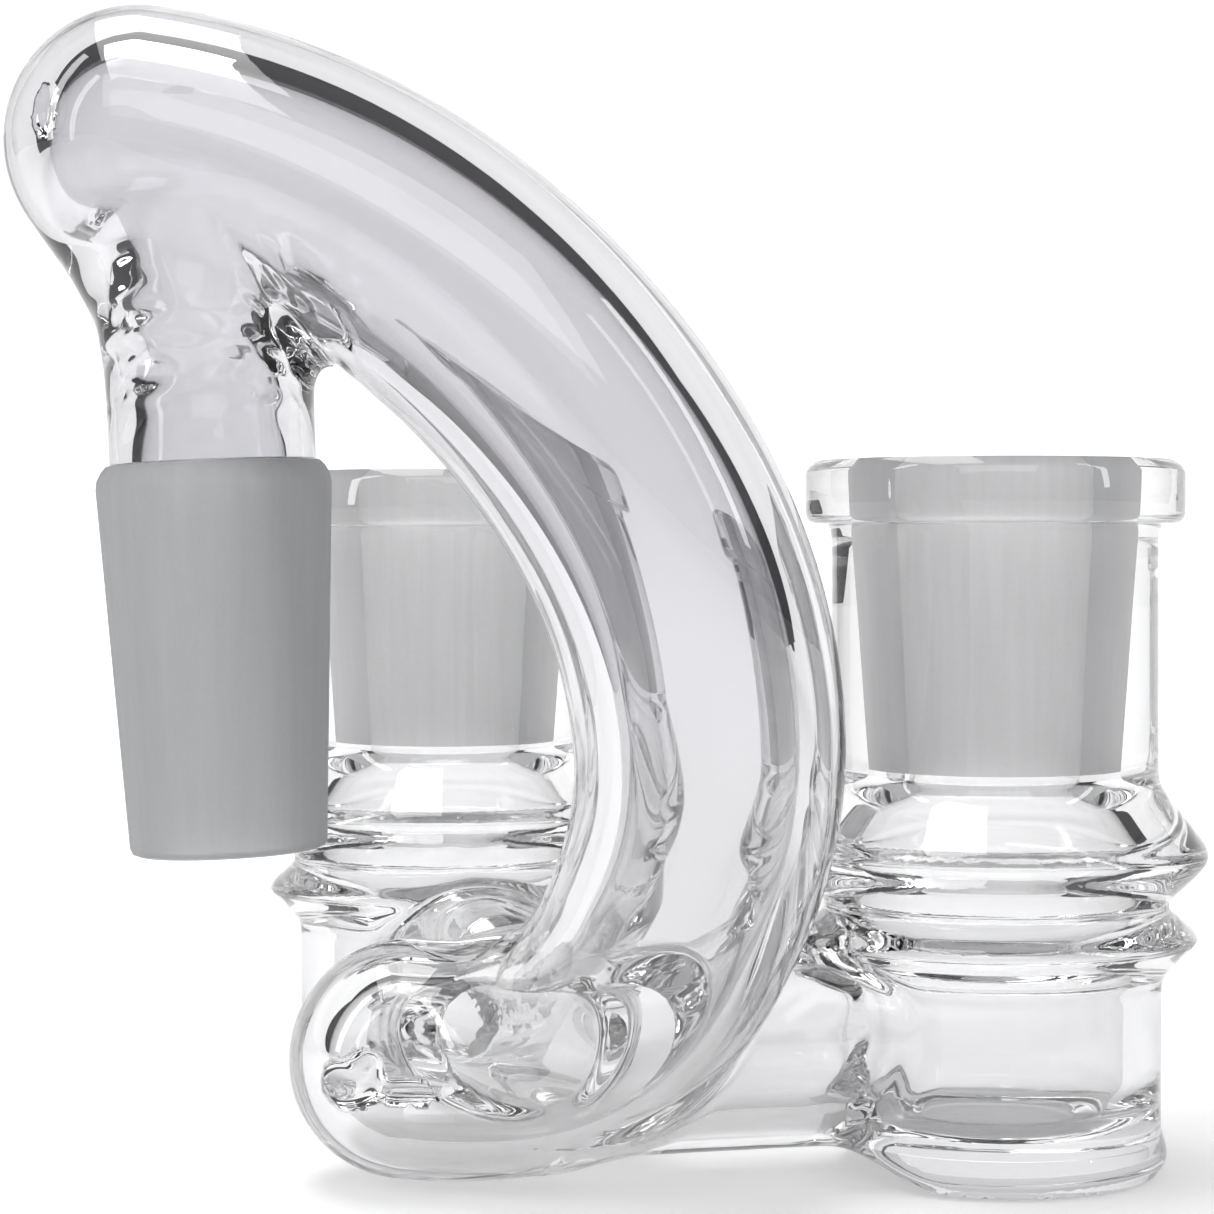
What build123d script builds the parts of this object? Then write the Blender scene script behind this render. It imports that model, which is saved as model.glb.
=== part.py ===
"""Clear glass drop-down adapter with one ground male joint and two ground female sockets.

Frame: the right cup stands on the XY plane with its axis on Z, X runs to the right along
the front of the adapter, Y runs away from the front, Z is up. All sizes are in mm.
The adapter is lampworked from separate preforms. Each preform is one node, and each one
meets its neighbours face to face.
"""

import math
import os

from build123d import *

os.makedirs("parts", exist_ok=True)

# ---------------------------------------------------------------- driving sizes
# Standard 14/23 ground taper, shared by the male joint and both sockets.
TAPER_DIAMETER = 14.5
TAPER_RATE = 0.1
SOCKET_GROUND_LENGTH = 22.9
MALE_GROUND_LENGTH = 24.0

# Cups
CUP_HEIGHT = 50.9
CUP_BODY_DIAMETER = 23.5
WELL_DIAMETER = 23.8
WELL_BORE = 18.4
BASE_THICKNESS = 2.8
BASE_FLARE = 0.4
WELL_TOP = 13.8
LOWER_RING_DIAMETER = 28.4
RING_VALLEY_DIAMETER = 24.6
UPPER_RING_DIAMETER = 30.3
LIP_DIAMETER = 27.3
LIP_HEIGHT = 4.6
LIP_BEVEL = 0.7

# Arms between the arch heel and the cups
ARM_DIAMETER = 15.6
ARM_BORE = 10.0
ARM_HEIGHT = 10.0
WELD_FLARE = 1.0
RIGHT_ARM_REACH = 32.6
LEFT_ARM_REACH = 42.2
RIGHT_ARM_ANGLE = 15.0
LEFT_ARM_ANGLE = 103.7

# Arch tube
TUBE_DIAMETER = 16.8
TUBE_WALL = 2.8
ARCH_RISE = 61.1
ARCH_SPAN = 35.0
ARCH_DEPTH = 31.9
HEEL_HEIGHT = 8.5

# Male joint
MALE_HANG = 19.7
MALE_OFFSET = 4.4
MALE_TILT = 2.4
MALE_BORE = 9.6
NECK_DIAMETER = 12.7
NECK_BORE = 8.6

# ---------------------------------------------------------------- derived places
TAPER_RADIUS = TAPER_DIAMETER / 2
TUBE_RADIUS = TUBE_DIAMETER / 2
TUBE_INNER = TUBE_RADIUS - TUBE_WALL

RIGHT_CUP = Vector(0, 0, 0)
HUB = Vector(
    -RIGHT_ARM_REACH * math.cos(math.radians(RIGHT_ARM_ANGLE)),
    -RIGHT_ARM_REACH * math.sin(math.radians(RIGHT_ARM_ANGLE)),
    ARM_HEIGHT,
)
LEFT_CUP = Vector(
    HUB.X + LEFT_ARM_REACH * math.cos(math.radians(LEFT_ARM_ANGLE)),
    HUB.Y + LEFT_ARM_REACH * math.sin(math.radians(LEFT_ARM_ANGLE)),
    0,
)

# The bend, as shares of the span, the depth and the rise, from the top end to the toe.
# The bend leaves the top almost level, bows out to the right and curls back under.
BEND = (
    (0.000, 0.000, 1.000),
    (0.409, -0.075, 0.913),
    (0.734, -0.128, 0.753),
    (0.940, -0.107, 0.556),
    (1.000, 0.000, 0.394),
    (0.951, 0.295, 0.208),
    (0.757, 0.683, 0.041),
    (0.417, 0.862, 0.000),
)
TOP_END = Vector(HUB.X - 25.2, HUB.Y - 23.6, HEEL_HEIGHT + ARCH_RISE)
BEND_POINTS = [
    (
        TOP_END.X + across * ARCH_SPAN,
        TOP_END.Y + away * ARCH_DEPTH,
        HEEL_HEIGHT + up * ARCH_RISE,
    )
    for across, away, up in BEND
]
BEND_AXIS = Edge.make_spline([Vector(*point) for point in BEND_POINTS])


# ---------------------------------------------------------------- helpers
def turned(profile, place=Location()):
    """Solid turned from (radius, height) corners about the local Z axis."""
    face = make_face(Polyline(*[(r, 0, z) for r, z in profile], close=True))
    return place * revolve(face, Axis.Z)


def swept(edge, outer, inner=0.0):
    """Round tube, or rod when inner is zero, along one edge."""
    section = Circle(outer)
    if inner:
        section = section - Circle(inner)
    return sweep(Plane(edge @ 0, z_dir=edge % 0) * section, path=edge)


def domed(centre, outward, outer, inner):
    """Closed half-round end of a tube, facing outward."""
    shell = Sphere(outer) - Sphere(inner)
    half = shell & Pos(0, 0, outer) * Box(4 * outer, 4 * outer, 2 * outer)
    return Plane(centre, z_dir=outward).location * half


def rod(start, direction, length, radius):
    """Plain round rod from start along direction."""
    place = Plane(start, z_dir=direction).location
    return place * Pos(0, 0, length / 2) * Cylinder(radius, length)


def single(shape):
    """The one solid of a boolean result, keeping the largest piece."""
    solids = shape.solids()
    return max(solids, key=lambda solid: solid.volume)


# ---------------------------------------------------------------- cup profile
BODY_RADIUS = CUP_BODY_DIAMETER / 2
WELL_RADIUS = WELL_DIAMETER / 2
WELL_INNER = WELL_BORE / 2
SOCKET_FOOT = CUP_HEIGHT - SOCKET_GROUND_LENGTH
SMALL_BORE = TAPER_RADIUS - TAPER_RATE / 2 * SOCKET_GROUND_LENGTH
LIP_FOOT = CUP_HEIGHT - LIP_HEIGHT
LIP_BORE = TAPER_RADIUS - TAPER_RATE / 2 * LIP_HEIGHT
RING_RISE = SOCKET_FOOT - WELL_TOP
VALLEY_HEIGHT = WELL_TOP + 0.37 * RING_RISE
LOWER_TIP = WELL_TOP + 0.20 * RING_RISE
UPPER_TIP = WELL_TOP + 0.62 * RING_RISE
NECK_IN = SMALL_BORE + 0.6

BASE = [
    (0, 0),
    (WELL_RADIUS - 0.6, 0),
    (WELL_RADIUS + BASE_FLARE * 0.6, 0.5),
    (WELL_RADIUS + BASE_FLARE, 1.3),
    (WELL_RADIUS, BASE_THICKNESS),
    (0, BASE_THICKNESS),
]
WELL = [
    (WELL_INNER, BASE_THICKNESS),
    (WELL_RADIUS, BASE_THICKNESS),
    (WELL_RADIUS, WELL_TOP),
    (WELL_INNER, WELL_TOP),
]
LOWER_RING = [
    (WELL_INNER, WELL_TOP),
    (WELL_RADIUS, WELL_TOP),
    (LOWER_RING_DIAMETER / 2 - 0.4, LOWER_TIP - 0.7),
    (LOWER_RING_DIAMETER / 2, LOWER_TIP),
    (LOWER_RING_DIAMETER / 2 - 0.4, LOWER_TIP + 0.7),
    (RING_VALLEY_DIAMETER / 2, VALLEY_HEIGHT),
    (WELL_INNER, VALLEY_HEIGHT),
]
UPPER_RING = [
    (WELL_INNER, VALLEY_HEIGHT),
    (RING_VALLEY_DIAMETER / 2, VALLEY_HEIGHT),
    (UPPER_RING_DIAMETER / 2 - 0.5, UPPER_TIP - 0.9),
    (UPPER_RING_DIAMETER / 2, UPPER_TIP),
    (UPPER_RING_DIAMETER / 2 - 0.4, UPPER_TIP + 0.8),
    (BODY_RADIUS, SOCKET_FOOT),
    (NECK_IN, SOCKET_FOOT),
    (WELL_INNER, UPPER_TIP),
]
SOCKET = [
    (SMALL_BORE, SOCKET_FOOT),
    (BODY_RADIUS, SOCKET_FOOT),
    (BODY_RADIUS, LIP_FOOT),
    (LIP_BORE, LIP_FOOT),
]
LIP_RADIUS = LIP_DIAMETER / 2
LIP = [
    (LIP_BORE, LIP_FOOT),
    (LIP_RADIUS - 0.5, LIP_FOOT),
    (LIP_RADIUS, LIP_FOOT + 0.5),
    (LIP_RADIUS, CUP_HEIGHT - LIP_BEVEL),
    (LIP_RADIUS - LIP_BEVEL, CUP_HEIGHT),
    (TAPER_RADIUS, CUP_HEIGHT),
]
CUP_OUTLINE = [(0, 0)] + BASE[1:4] + WELL[1:3] + LOWER_RING[2:6] + UPPER_RING[2:6]
CUP_OUTLINE = CUP_OUTLINE + [(0, SOCKET_FOOT)]
CUP_PIECES = {
    "base": BASE,
    "well": WELL,
    "lower_ring": LOWER_RING,
    "upper_ring": UPPER_RING,
    "socket": SOCKET,
    "lip": LIP,
}

# ---------------------------------------------------------------- arch tube
CUTS = (0.0, 0.30, 0.48, 0.70, 1.0)
SECTIONS = ("arch_crown", "arch_shoulder", "arch_bow", "arch_heel")
nodes = {}
for name, start, end in zip(SECTIONS, CUTS[:-1], CUTS[1:]):
    piece = BEND_AXIS.trim(start, end)
    nodes[name] = swept(piece, TUBE_RADIUS, TUBE_INNER)

nodes["arch_top_dome"] = domed(
    BEND_AXIS @ 0, (BEND_AXIS % 0) * -1, TUBE_RADIUS, TUBE_INNER
)
nodes["arch_toe_dome"] = domed(BEND_AXIS @ 1, BEND_AXIS % 1, TUBE_RADIUS, TUBE_INNER)
arch_solid = {
    name: swept(BEND_AXIS.trim(start, end), TUBE_RADIUS)
    for name, start, end in zip(SECTIONS, CUTS[:-1], CUTS[1:])
}
top_ball = Pos(*(BEND_AXIS @ 0)) * Sphere(TUBE_RADIUS)
toe_ball = Pos(*(BEND_AXIS @ 1)) * Sphere(TUBE_RADIUS)

# ---------------------------------------------------------------- male joint and neck
MALE_UP = Vector(
    -math.sin(math.radians(MALE_TILT)), 0, math.cos(math.radians(MALE_TILT))
)
MALE_TOP = TOP_END + Vector(MALE_OFFSET, 0, -MALE_HANG)
MALE_PLACE = Plane(MALE_TOP, z_dir=MALE_UP).location
NECK_RADIUS = NECK_DIAMETER / 2
MALE_SMALL = TAPER_RADIUS - TAPER_RATE / 2 * MALE_GROUND_LENGTH
MALE_INNER = MALE_BORE / 2

nodes["male_joint"] = turned(
    [
        (MALE_INNER, -MALE_GROUND_LENGTH),
        (MALE_SMALL - 0.4, -MALE_GROUND_LENGTH),
        (MALE_SMALL, -MALE_GROUND_LENGTH + 0.5),
        (TAPER_RADIUS, -0.6),
        (NECK_RADIUS + 0.3, 0.0),
        (MALE_INNER, 0.0),
    ],
    MALE_PLACE,
)
neck = turned(
    [
        (NECK_BORE / 2, 0.0),
        (NECK_RADIUS, 0.0),
        (NECK_RADIUS, 0.30 * MALE_HANG - 2.0),
        (NECK_RADIUS + 0.25, 0.30 * MALE_HANG),
        (NECK_RADIUS + 0.5, 0.42 * MALE_HANG),
        (NECK_RADIUS + 1.1, 0.55 * MALE_HANG),
        (NECK_RADIUS + 1.9, 0.66 * MALE_HANG),
        (NECK_RADIUS + 1.9, MALE_HANG),
        (NECK_BORE / 2, MALE_HANG),
    ],
    MALE_PLACE,
)
neck_port = rod(MALE_TOP, MALE_UP, MALE_HANG, NECK_BORE / 2)
nodes["male_neck"] = single(neck - arch_solid["arch_crown"] - top_ball)
nodes["arch_crown"] = single(nodes["arch_crown"] - neck_port)
nodes["arch_top_dome"] = single(nodes["arch_top_dome"] - neck_port)

# ---------------------------------------------------------------- cups and arms
ARM_RADIUS = ARM_DIAMETER / 2
ARMS = {
    "right": (RIGHT_CUP, RIGHT_ARM_REACH, RIGHT_ARM_ANGLE),
    "left": (LEFT_CUP, LEFT_ARM_REACH, LEFT_ARM_ANGLE),
}
arm_rods = {}
arm_ports = {}
for side, (centre, reach, angle) in ARMS.items():
    along = Vector(math.cos(math.radians(angle)), math.sin(math.radians(angle)), 0)
    place = Plane(HUB, z_dir=along).location
    wall = reach - WELL_RADIUS
    profile = [
        (0, 0),
        (ARM_RADIUS, 0),
        (ARM_RADIUS, wall - 2.6),
        (ARM_RADIUS + 0.3 * WELD_FLARE, wall - 1.2),
        (ARM_RADIUS + WELD_FLARE, wall + 1.0),
        (ARM_RADIUS + WELD_FLARE, reach - 4.0),
        (0, reach - 4.0),
    ]
    arm_rods[side] = turned(profile, place)
    arm_ports[side] = rod(HUB, along, reach, ARM_BORE / 2)

heel = nodes["arch_heel"]
for side, (centre, reach, angle) in ARMS.items():
    cup_place = Pos(centre.X, centre.Y, 0)
    outline = turned(CUP_OUTLINE, cup_place)
    floor = Pos(centre.X, centre.Y, 50) * Box(200, 200, 100)
    arm = arm_rods[side] - arm_ports[side] - outline
    for solid in arch_solid.values():
        arm = arm - solid
    arm = (arm - toe_ball) & floor
    if side == "left":
        arm = arm - arm_rods["right"]
    else:
        arm = arm - arm_ports["left"]
    nodes[side + "_arm"] = single(arm)
    heel = heel - arm_ports[side]
    for part_name, profile in CUP_PIECES.items():
        piece = turned(profile, cup_place)
        if part_name in ("well", "lower_ring"):
            piece = single(piece - arm_ports[side])
        nodes[side + "_" + part_name] = piece
nodes["arch_heel"] = single(heel)
nodes["arch_toe_dome"] = single(
    nodes["arch_toe_dome"] - arm_ports["right"] - arm_ports["left"]
)

# ---------------------------------------------------------------- output
for name, shape in nodes.items():
    solids = shape.solids() if hasattr(shape, "solids") else [shape]
    print(name, "solids", len(solids), "volume", round(sum(s.volume for s in solids), 2))
    export_step(shape, "parts/" + name + ".step")

everything = Compound(children=[Compound(shape.solids()) for shape in nodes.values()])
box = everything.bounding_box()
print("size", [round(v, 2) for v in (box.size.X, box.size.Y, box.size.Z)])
print("min", [round(v, 2) for v in (box.min.X, box.min.Y, box.min.Z)])
print("hub", HUB, "left cup", LEFT_CUP, "male top", MALE_TOP, "male up", MALE_UP)
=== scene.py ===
import math

import bmesh
import bpy
import numpy as np
from bpy.props import FloatProperty, FloatVectorProperty, IntProperty, PointerProperty
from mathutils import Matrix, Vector


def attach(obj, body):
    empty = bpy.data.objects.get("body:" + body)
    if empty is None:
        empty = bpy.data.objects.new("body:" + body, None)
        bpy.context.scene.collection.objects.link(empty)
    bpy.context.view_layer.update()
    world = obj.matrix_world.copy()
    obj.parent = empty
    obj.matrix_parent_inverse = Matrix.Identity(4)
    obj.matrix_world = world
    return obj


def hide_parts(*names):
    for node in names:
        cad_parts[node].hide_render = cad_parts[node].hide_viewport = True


bl_info = {
    "name": "Glass drop-down adapter",
    "version": (1, 0, 0),
    "blender": (4, 5, 0),
    "location": "View3D > Sidebar > Adapter",
    "description": "Builds a clear glass adapter with ground joints and its studio",
    "category": "Object",
}

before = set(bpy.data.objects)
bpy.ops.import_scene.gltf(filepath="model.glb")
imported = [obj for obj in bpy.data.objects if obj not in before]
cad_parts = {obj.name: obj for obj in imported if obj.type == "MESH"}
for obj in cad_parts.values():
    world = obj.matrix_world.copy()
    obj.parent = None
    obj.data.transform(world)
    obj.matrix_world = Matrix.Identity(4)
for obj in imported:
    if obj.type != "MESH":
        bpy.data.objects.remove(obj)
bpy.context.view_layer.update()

MM = 0.001
FLOOR = -0.0002
MIDDLE = -0.028
FLOOR_REACH = 6.0
SWEEP_START = 0.25
SWEEP_RADIUS = 0.30
SWEEP_STEPS = 24
BACKDROP_TOP = 0.62
CLEAR, GROUND, FUSED = 0, 1, 2

# ------------------------------------------------------------------ sizes in mm
TAPER_RADIUS = 7.25
TAPER_SLOPE = 0.05
CUP_HEIGHT = 50.9
SOCKET_FOOT = 28.0
LIP_FOOT = 46.3
LIP_RADIUS = 13.65
LIP_WELD = 12.05
WELL_TOP = 13.8
VALLEY_HEIGHT = 19.054
BASE_TOP = 2.6
ARM_RADIUS = 7.8
ARM_BORE = 5.0
ARM_HEIGHT = 10.0
RIGHT_REACH = 32.6
LEFT_REACH = 42.2
RIGHT_ANGLE = math.radians(15.0)
LEFT_ANGLE = math.radians(103.7)
TUBE_RADIUS = 8.4
ARCH_RISE = 61.1
ARCH_SPAN = 35.0
ARCH_DEPTH = 31.9
HEEL_HEIGHT = 8.5
MALE_TILT = math.radians(2.4)
MALE_LENGTH = 24.0
MALE_BORE = 4.8
NECK_BORE = 4.3

RIGHT_CUP = np.array((0.0, 0.0, 0.0))
RIGHT_WAY = np.array((math.cos(RIGHT_ANGLE), math.sin(RIGHT_ANGLE), 0.0))
LEFT_WAY = np.array((math.cos(LEFT_ANGLE), math.sin(LEFT_ANGLE), 0.0))
HUB = -RIGHT_REACH * RIGHT_WAY + np.array((0.0, 0.0, ARM_HEIGHT))
LEFT_CUP = HUB + LEFT_REACH * LEFT_WAY - np.array((0.0, 0.0, ARM_HEIGHT))
TOP_END = HUB + np.array((-25.2, -23.6, HEEL_HEIGHT + ARCH_RISE - ARM_HEIGHT))
MALE_TOP = TOP_END + np.array((4.4, 0.0, -19.7))
MALE_UP = np.array((-math.sin(MALE_TILT), 0.0, math.cos(MALE_TILT)))
BEND = (
    (0.000, 0.000, 1.000),
    (0.409, -0.075, 0.913),
    (0.734, -0.128, 0.753),
    (0.940, -0.107, 0.556),
    (1.000, 0.000, 0.394),
    (0.951, 0.295, 0.208),
    (0.757, 0.683, 0.041),
    (0.417, 0.862, 0.000),
)
CUTS = (0.0, 0.30, 0.48, 0.70, 1.0)
CUP_PARTS = ("arm", "base", "well", "lower_ring", "upper_ring")

# ---------------------------------------------- places and reaches of the cuts in mm
NECK_LENGTH = 19.0
NECK_WELD = 8.4
NECK_WELD_WAY = (0.395, 0.0, 0.919)
NECK_REACH = 9.6
TUBE_REACH = 14.0
DOME_REACH = 13.5
TOE_REACH = 16.0
ARM_REACH = 11.5
CUP_REACH = 17.5
ARM_SHORT = 4.0
CUP_WELD = 12.5
NEAR_CUT = {"right": 12.6, "left": 15.0}
FAR_CUT = {"right": RIGHT_REACH - 13.6, "left": LEFT_REACH - 13.8}
CROWN_LOW = TOP_END + np.array((-9.6, -14.6, -27.0))
CROWN_HIGH = TOP_END + np.array((37.0, 9.8, 9.4))
FOOT_LOW = np.array((-58.2, -33.5, -1.05))
FOOT_HIGH = np.array((17.0, 50.0, 31.5))
MALE_REACH = 9.5
ARM_CLEAR = 9.0
ARM_SIDE = 11.0
END_SLACK = 3.0

# the crown uses the samples of the bend up to one number, the foot those from the other
CROWN_STOP = 225
FOOT_START = 404


# ------------------------------------------------------------------ curve maths
def bend_samples(count=601):
    """Points evenly spaced by length along the smooth bend of the arch, in mm."""
    span = np.array((ARCH_SPAN, ARCH_DEPTH, ARCH_RISE))
    start = np.array((TOP_END[0], TOP_END[1], HEEL_HEIGHT))
    points = start + np.array(BEND) * span
    at = np.r_[0.0, np.cumsum(np.linalg.norm(np.diff(points, axis=0), axis=1))]
    h = np.diff(at)
    n = len(at)
    system = np.zeros((n, n))
    known = np.zeros((n, 3))
    for i in range(1, n - 1):
        system[i, i - 1 : i + 2] = (h[i - 1], 2 * (h[i - 1] + h[i]), h[i])
        rise = (points[i + 1] - points[i]) / h[i]
        fall = (points[i] - points[i - 1]) / h[i - 1]
        known[i] = 6 * (rise - fall)
    system[0, :3] = (h[1], -(h[0] + h[1]), h[0])
    system[-1, -3:] = (h[-1], -(h[-2] + h[-1]), h[-2])
    second = np.linalg.solve(system, known)
    t = np.linspace(0, at[-1], 4001)
    i = np.clip(np.searchsorted(at, t, side="right") - 1, 0, n - 2)
    step = (at[i + 1] - at[i])[:, None]
    a = (at[i + 1] - t)[:, None] / step
    b = 1 - a
    curve = a * points[i] + b * points[i + 1]
    curve += ((a**3 - a) * second[i] + (b**3 - b) * second[i + 1]) * step**2 / 6
    along = np.r_[0.0, np.cumsum(np.linalg.norm(np.diff(curve, axis=0), axis=1))]
    want = np.linspace(0, along[-1], count)
    return np.stack([np.interp(want, along, curve[:, k]) for k in range(3)], axis=-1)


BEND_LINE = bend_samples()
BEND_TANGENT = np.gradient(BEND_LINE, axis=0)
BEND_TANGENT /= np.linalg.norm(BEND_TANGENT, axis=1)[:, None]


def bend_at(share):
    """Point and unit direction at a share of the bend's length."""
    i = int(round(share * (len(BEND_LINE) - 1)))
    return BEND_LINE[i], BEND_TANGENT[i]


def smooth_table(rows, blur, step=0.05):
    """Radius against height from (height, radius) rows, softened over blur mm."""
    heights = np.arange(rows[0][0] - 3, rows[-1][0] + 3, step)
    radii = np.interp(heights, [z for z, _ in rows], [r for _, r in rows])
    if blur:
        reach = np.arange(-3 * blur, 3 * blur + step, step)
        weight = np.exp(-0.5 * (reach / blur) ** 2)
        weight /= weight.sum()
        half = len(reach) // 2
        padded = np.pad(radii, half, mode="edge")
        radii = np.convolve(padded, weight, mode="valid")[: len(heights)]
    return heights, radii


CUP_OUTSIDE = smooth_table(
    (
        (-1.0, 11.4),
        (0.0, 11.6),
        (0.9, 12.35),
        (1.7, 12.3),
        (3.0, 11.9),
        (12.6, 11.9),
        (14.0, 12.0),
        (15.9, 13.9),
        (16.6, 14.65),
        (17.3, 14.1),
        (19.05, 12.1),
        (21.6, 14.8),
        (22.4, 15.3),
        (23.2, 15.2),
        (27.4, 12.0),
        (28.2, 11.75),
        (46.0, 11.75),
    ),
    0.34,
)
CUP_INSIDE = smooth_table(
    (
        (2.0, 4.8),
        (3.0, 5.6),
        (3.5, 7.4),
        (4.6, 8.7),
        (6.6, 9.2),
        (13.0, 9.2),
        (16.6, 10.1),
        (18.8, 9.3),
        (22.2, 10.4),
        (25.0, 8.6),
        (27.3, 6.5),
        (27.9, TAPER_RADIUS - TAPER_SLOPE * 22.9),
        (50.9, TAPER_RADIUS),
    ),
    0.3,
)
NECK_OUTSIDE = smooth_table(
    ((-1.0, 6.35), (4.0, 6.35), (6.5, 6.5), (9.0, 7.0), (11.0, 7.7), (13.5, 8.1), (22.0, 6.0)),
    0.6,
)
NECK_INSIDE = smooth_table(
    (
        (-4.0, NECK_BORE + 0.4),
        (1.0, NECK_BORE + 0.1),
        (5.0, NECK_BORE - 0.5),
        (9.0, NECK_BORE),
        (14.0, NECK_BORE),
        (22.0, NECK_BORE - 1.5),
    ),
    0.5,
)


# ------------------------------------------------------------------ distance fields
def segment_distance(p, line):
    """Distance from each point to a chain of short straight pieces."""
    best = np.full(len(p), np.inf)
    for a, b in zip(line[:-1], line[1:]):
        ab = b - a
        rel = p - a
        t = np.clip(rel @ ab / (ab @ ab), 0, 1)
        d = rel - t[:, None] * ab
        np.minimum(best, np.einsum("ij,ij->i", d, d), out=best)
    return np.sqrt(best)


def turned_distance(p, origin, up, table):
    """Signed distance to a turned surface given as radius against height."""
    rel = p - origin
    height = rel @ up
    radius = np.linalg.norm(rel - height[:, None] * up, axis=1)
    heights, radii = table
    slope = np.gradient(radii, heights)
    lean = np.sqrt(1 + np.interp(height, heights, slope) ** 2)
    return (radius - np.interp(height, heights, radii)) / lean, height


def blend(a, b, width):
    """Smooth union of two distances, filleted over width mm."""
    h = np.clip(0.5 + 0.5 * (b - a) / width, 0, 1)
    return b + (a - b) * h - width * h * (1 - h)


def bead(p, centre, radii):
    """Signed distance to a small melted bead with three half sizes."""
    rel = (p - centre) / np.array(radii)
    return (np.linalg.norm(rel, axis=1) - 1.0) * min(radii)


def ripple(p, size, seed):
    """Slow waviness of hand-worked glass, between about -1 and 1."""
    total = np.zeros(len(p))
    for k in range(4):
        x, y = math.sin(seed + 2.1 * k), math.cos(1.7 * seed + k)
        turn = np.array((x, y, math.sin(3.3 * k + 0.5 * seed)))
        turn /= np.linalg.norm(turn)
        total += np.sin(p @ turn * (2 * math.pi / size) * (1 + 0.31 * k) + 1.9 * k + seed)
    return total / 2.6


def weld_zone(p, start, way, station, length, reach):
    """Share of flame waviness round one weld, 1 at its middle and 0 away from it."""
    rel = p - start
    at = rel @ way
    side = np.linalg.norm(rel - at[:, None] * way, axis=1)
    return np.exp(-(((at - station) / length) ** 2) - (side / reach) ** 4)


def crown_field(bore):
    """Distance field of the arch's top end with the male neck fused under it."""

    def field(p, fine=True):
        line = BEND_LINE[: CROWN_STOP : 2 if fine else 8]
        centre = segment_distance(p, line)
        tube = centre - TUBE_RADIUS
        neck, height = turned_distance(p, MALE_TOP, MALE_UP, NECK_OUTSIDE)
        neck = np.maximum(neck, height - NECK_LENGTH)
        outer = blend(tube, neck, 3.0)
        near_weld = weld_zone(p, MALE_TOP, MALE_UP, 7.0, 3.4, 11.0)
        outer = outer + 0.10 * near_weld * ripple(p, 5.5, 0.7)
        hollow = centre - bore
        channel, height = turned_distance(p, MALE_TOP, MALE_UP, NECK_INSIDE)
        channel = np.maximum(channel, height - NECK_LENGTH)
        channel = channel + 0.22 * near_weld * ripple(p, 4.2, 2.9)
        inner = blend(hollow, channel, 1.6)
        lump = bead(p, TOP_END + np.array((-4.4, -3.4, 1.5)), (0.7, 1.0, 1.6))
        inner = np.maximum(inner, -lump)
        return np.maximum(outer, -inner)

    return field


def cup_fields(p, centre, way):
    """Outer and inner distances of one cup below its socket, its foot drawn in at the weld."""
    up = np.array((0.0, 0.0, 1.0))
    outer, height = turned_distance(p, centre, up, CUP_OUTSIDE)
    outer = np.maximum(outer, -height)
    slope = np.array((-0.62 * way[0], -0.62 * way[1], -0.785))
    foot = (p - (centre - 11.7 * way + np.array((0.0, 0.0, 2.5)))) @ slope
    outer = -blend(-outer, -foot, 1.2)
    inner, height = turned_distance(p, centre, up, CUP_INSIDE)
    inner = np.maximum(inner, 3.0 - height)
    return outer, inner


def rod_distance(p, start, way, length, radius):
    """Signed distance to a straight round rod."""
    rel = p - start
    at = rel @ way
    side = np.linalg.norm(rel - at[:, None] * way, axis=1)
    return np.maximum(side - radius, np.maximum(-at, at - length))


def foot_field(bore):
    """Distance field of the heel, both arms and the cups below their sockets."""

    def field(p, fine=True):
        stride = 2 if fine else 8
        line = BEND_LINE[FOOT_START::stride]
        if (len(BEND_LINE) - 1 - FOOT_START) % stride:
            line = np.vstack([line, BEND_LINE[-1]])
        centre = segment_distance(p, line)
        outer = centre - TUBE_RADIUS
        inner = centre - bore
        for way, reach in ((RIGHT_WAY, RIGHT_REACH), (LEFT_WAY, LEFT_REACH)):
            length = reach - ARM_SHORT
            outer = blend(outer, rod_distance(p, HUB, way, length, ARM_RADIUS), 1.6)
            inner = blend(inner, rod_distance(p, HUB, way, length, ARM_BORE), 0.8)
        for cup, way, reach in (
            (RIGHT_CUP, RIGHT_WAY, RIGHT_REACH),
            (LEFT_CUP, LEFT_WAY, LEFT_REACH),
        ):
            body, well = cup_fields(p, cup, way)
            outer = blend(outer, body, 1.6)
            inner = blend(inner, well, 1.2)
            weld = weld_zone(p, HUB, way, reach - CUP_WELD, 2.6, 10.0)
            outer = outer + 0.12 * weld * ripple(p, 5.0, 1.3)
        toe = BEND_LINE[-1]
        lump = bead(p, toe + np.array((-3.6, -4.2, -0.9)), (1.9, 1.8, 1.5))
        lump = blend(lump, bead(p, toe + np.array((-2.2, -4.4, 0.2)), (1.1, 1.3, 1.1)), 0.6)
        stem = bead(p, toe + np.array((0.8, -5.1, -1.1)), (3.4, 1.3, 0.8))
        inner = np.maximum(inner, -blend(lump, stem, 0.9))
        return np.maximum(outer, -inner)

    return field


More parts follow.
